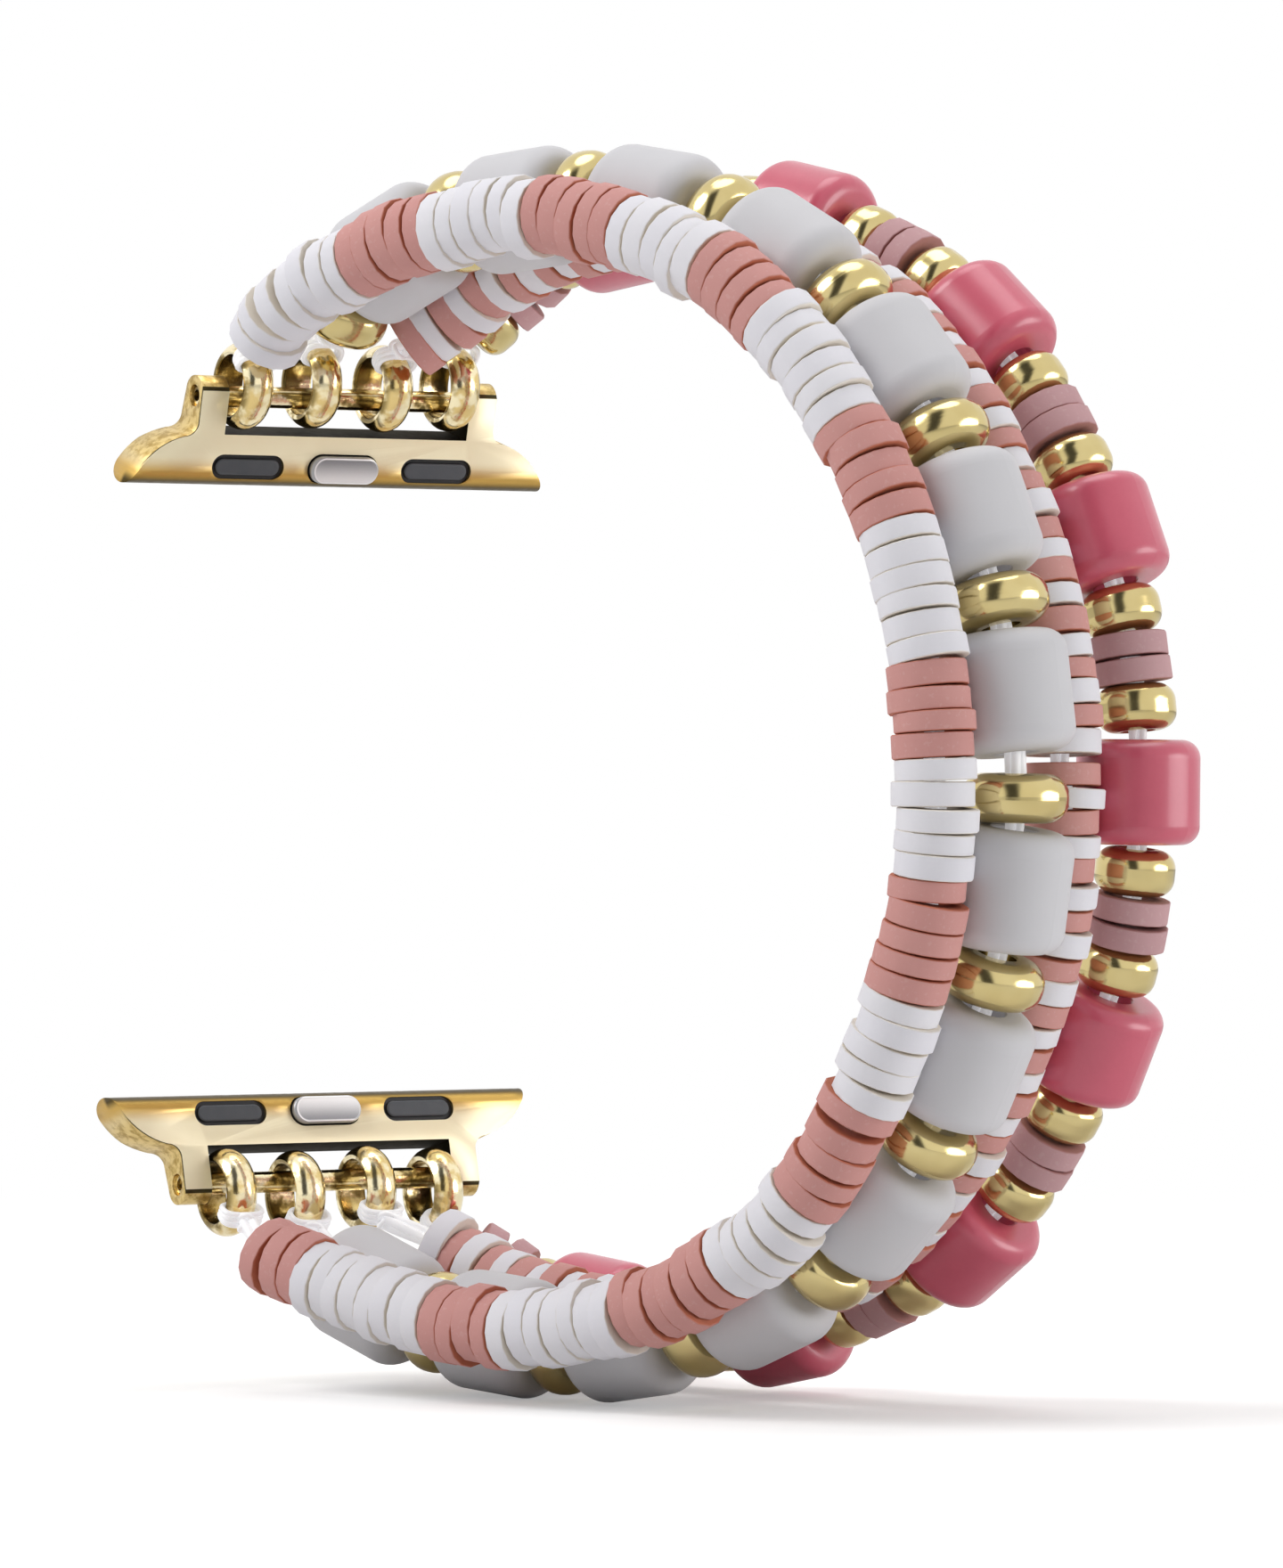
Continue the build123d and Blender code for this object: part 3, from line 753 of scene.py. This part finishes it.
def clay(name, body, edge, deep):
    """Matte polymer clay: a fine grain, a slow cloud, a tone for each disc, and painted seam shade,
    tinted warm, on its ends and soft rims, where discs meet.
    """
    def recipe(place):
        end = place.node("Attribute", {"attribute_name": "end"}, out="Fac")
        tone = place.node("Attribute", {"attribute_name": "tone"}, out="Fac")
        fine = place.grain(0.00012, 4.0, 0.7)
        cloud = place.grain(0.0011, 3.0)
        fleck = place.grain(0.00025, 2.0).rise(0.60, 0.68)
        shade = blend(tone * 0.35 + cloud * 0.3 + fine * 0.2, body, deep)
        shade = blend(fleck * 0.05, shade, CLAY_FLECK)
        return {
            # painted seam shade on the ends and soft rims, where discs meet
            "Base Color": blend(end, shade, edge),
            "Roughness": 0.62 + fine * 0.2,
            "Normal": (fine * 0.8 + cloud).bump(0.22, 0.00003),
        }
    return finish(name, recipe)


rolled = {name: clay(name, **colours) for name, colours in CLAYS.items()}
for node, slot in CLAY_OF.items():
    corners = corners_of(node)
    centres = corners.mean(axis=1)
    spokes = corners - centres[:, None]
    axes = np.linalg.eigh(np.einsum("bni,bnj->bij", spokes, spokes))[1][:, :, 0]
    halves = np.abs(np.einsum("bni,bi->bn", spokes, axes)).max(axis=1)
    reach = np.linalg.norm(np.cross(spokes, axes[:, None]), axis=2).max(axis=1).mean()
    points, quads, ends, tones = cut_discs(centres, axes, halves + SQUEEZE, reach)
    mesh = mesh_of(f"{node}_clay", points, quads)
    mesh.attributes.new("end", "FLOAT", "POINT").data.foreach_set("value", ends)
    mesh.attributes.new("tone", "FLOAT", "POINT").data.foreach_set("value", tones)
    discs = linked(f"{node}_clay", mesh, rolled[slot])
    discs.modifiers.new("Flat ends", "WEIGHTED_NORMAL").weight = 80
    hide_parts(node)
    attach(discs, "strands")

# White barrels of strand 2. They are moulded beads with a rubbery, powder-matte coat, threaded
# between the rondelles.

POWDER_WHITE = (0.620, 0.612, 0.635)
POWDER_GREY = (0.560, 0.552, 0.570)


def powder_coat(place):
    """Matte white coat with a fine grain and a slow cloud."""
    fine = place.grain(0.00007, 4.0, 0.7)
    cloud = place.grain(0.0022, 2.0)
    return {
        "Base Color": blend(cloud * 0.5 + fine * 0.25, POWDER_WHITE, POWDER_GREY),
        "Roughness": 0.55 + fine * 0.15,
        "Normal": fine.bump(0.16, 0.00002),
    }


coat(WHITE_BARRELS, finish("powder_coat", powder_coat))

# Gold rondelles of strand 2 and short gold beads of strand 4. They are turned from brass, plated
# and polished, and threaded between the barrels and discs.

BEAD_GOLD = (0.60, 0.47, 0.195)
BEAD_PALE = (0.74, 0.62, 0.31)


def polished_brass(place):
    """Polished plate with a slow cloud of paler gold and the swirl of the polishing wheel."""
    cloud = place.grain(0.0016, 2.0)
    swirl = place.grain(0.0005, 3.0)
    return {
        "Base Color": blend(cloud, BEAD_GOLD, BEAD_PALE),
        "Metallic": 1.0,
        "Roughness": 0.12 + swirl * 0.08,
        "Normal": (cloud + swirl * 0.3).bump(0.12, 0.00006),
    }


coat(["gold_rondelles", "gold_beads"], finish("polished_brass", polished_brass))

# Pink barrels of strand 4. They are cast in a rose resin that looks like glass, with a clear,
# glossy skin, and threaded between pairs of gold beads.

ROSE = (0.640, 0.105, 0.165)
ROSE_DEEP = (0.520, 0.070, 0.120)


def rose_resin(place):
    """Rose resin with a deeper cloud, under a clear coat."""
    cloud = place.grain(0.0018, 3.0)
    fine = place.grain(0.0002, 3.0)
    return {
        "Base Color": blend(cloud * 0.7 + fine * 0.2, ROSE, ROSE_DEEP),
        "Roughness": 0.34 + fine * 0.08,
        "Coat Weight": 0.55,
        "Coat Roughness": 0.2,
        "Normal": cloud.bump(0.06, 0.00006),
    }


coat(PINK_BARRELS, finish("rose_resin", rose_resin))

# Studio. The band stands on white paper in front of a level camera, lit by soft lamps above and
# beside it. The camera sees white all round. Polished pieces mirror white cards with a dark gap near
# the camera, and matte ones get a dimmer room, dimmest on the camera's side.

AIM_FROM_PIN = (0.02005, 0.0, -0.01975)
AZIMUTH = math.radians(40)
CAMERA_AWAY = 0.375
CAMERA_LENS = 173.35
CAMERA_NEAR = 0.01
LAMPS = {
    "key": {"right": -0.38, "up": 0.42, "near": 0.16, "size": 0.34, "power": 1.7},
    "fill": {"right": 0.50, "up": 0.02, "near": 0.14, "size": 0.36, "power": 1.45},
    "top": {"right": 0.05, "up": 0.52, "near": -0.06, "size": 0.36, "power": 0.8},
}
GAP_TO_LEFT = 0.14
GAP_EDGE = (0.015, 0.10)
GAP_AHEAD = (0.1, 0.5)
GAP_DARKER = 0.93
LOW_FADE = (0.2, 0.9)
LOW_DARKER = 0.4
ROOM_LIGHT = 0.52
ROOM_FADE = (0.2, 1.0)
ROOM_DARKER = 0.7
PLAIN_WHITE = (1, 1, 1, 1)
PAPER_WHITE = (0.80, 0.80, 0.80)
PAPER_PALE = (0.82, 0.82, 0.82)
PAPER_GLOW = 0.32
PAPER_FADE = (0.04, 0.20)
FLOOR_REACH = 2.0
aim = pin_place["upper"] + AIM_FROM_PIN
to_camera = np.array((math.sin(AZIMUTH), -math.cos(AZIMUTH), 0.0))
to_right = np.array((math.cos(AZIMUTH), math.sin(AZIMUTH), 0.0))
upwards = np.array((0.0, 0.0, 1.0))

camera = bpy.data.objects.new("camera", bpy.data.cameras.new("camera"))
bpy.context.scene.collection.objects.link(camera)
camera.location = tuple(aim + to_camera * CAMERA_AWAY)
camera.rotation_euler = (math.radians(90), 0, AZIMUTH)
camera.data.lens = CAMERA_LENS
camera.data.clip_start = CAMERA_NEAR
bpy.context.scene.camera = camera

for name, made in LAMPS.items():
    lamp = bpy.data.objects.new(name, bpy.data.lights.new(name, "AREA"))
    bpy.context.scene.collection.objects.link(lamp)
    offset = to_right * made["right"] + upwards * made["up"] + to_camera * made["near"]
    lamp.location = tuple(aim + offset)
    lamp.rotation_euler = Vector(offset).to_track_quat("Z", "Y").to_euler()
    lamp.data.shape = "DISK"
    lamp.data.size = made["size"]
    lamp.data.energy = made["power"]

world = bpy.data.worlds.new("studio")
bpy.context.scene.world = world
looking = coordinates(world, "Generated")
seen = looking.node("LightPath", out="Is Camera Ray")
mirrored = looking.node("LightPath", out="Is Glossy Ray")
through = looking.node("LightPath", out="Is Transmission Ray")
forward = looking.along(to_camera)
beside = looking.along(to_right) + GAP_TO_LEFT
gap = (1 - (beside * beside).rise(*GAP_EDGE)) * forward.rise(*GAP_AHEAD)
low = (0 - looking.along(upwards)).rise(*LOW_FADE)
cards = (1 - gap * GAP_DARKER) * (1 - low * LOW_DARKER)
room = ROOM_LIGHT * (1 - forward.rise(*ROOM_FADE) * ROOM_DARKER)
brightness = seen + through + mirrored * cards + (1 - seen - through - mirrored) * room
ground = looking.node("Background", None, {"Color": PLAIN_WHITE, "Strength": brightness})
looking.node("OutputWorld", None, {"Surface": ground})


def floor_paper():
    """Paper: matt white, and for the camera a little lit from within, fading to plain white."""
    material = bpy.data.materials.new("floor_paper")
    place = coordinates(material, "Object")
    camera_ray = place.node("LightPath", out="Is Camera Ray")
    away = (place * (1.0, 1.0, 0.0)).length().rise(*PAPER_FADE)
    colour = blend(place.grain(0.004, 3.0), PAPER_WHITE, PAPER_PALE)
    paper = place.node("BsdfDiffuse", None, {"Color": colour})
    glow = place.node("Emission", None,
                      {"Color": PLAIN_WHITE, "Strength": camera_ray * PAPER_GLOW})
    near = place.node("AddShader", None, {0: paper, 1: glow})
    white = place.node("Emission", None, {"Color": PLAIN_WHITE, "Strength": 1.0})
    both = place.node("MixShader", None, {0: away * camera_ray, 1: near, 2: white})
    place.node("OutputMaterial", None, {"Surface": both})
    return material


floor_corners = np.array([(-1, -1, 0), (1, -1, 0), (1, 1, 0), (-1, 1, 0)]) * FLOOR_REACH
floor = linked("floor", mesh_of("floor", floor_corners, np.array([[0, 1, 2, 3]])), floor_paper())
bpy.context.scene.view_settings.view_transform = "Standard"
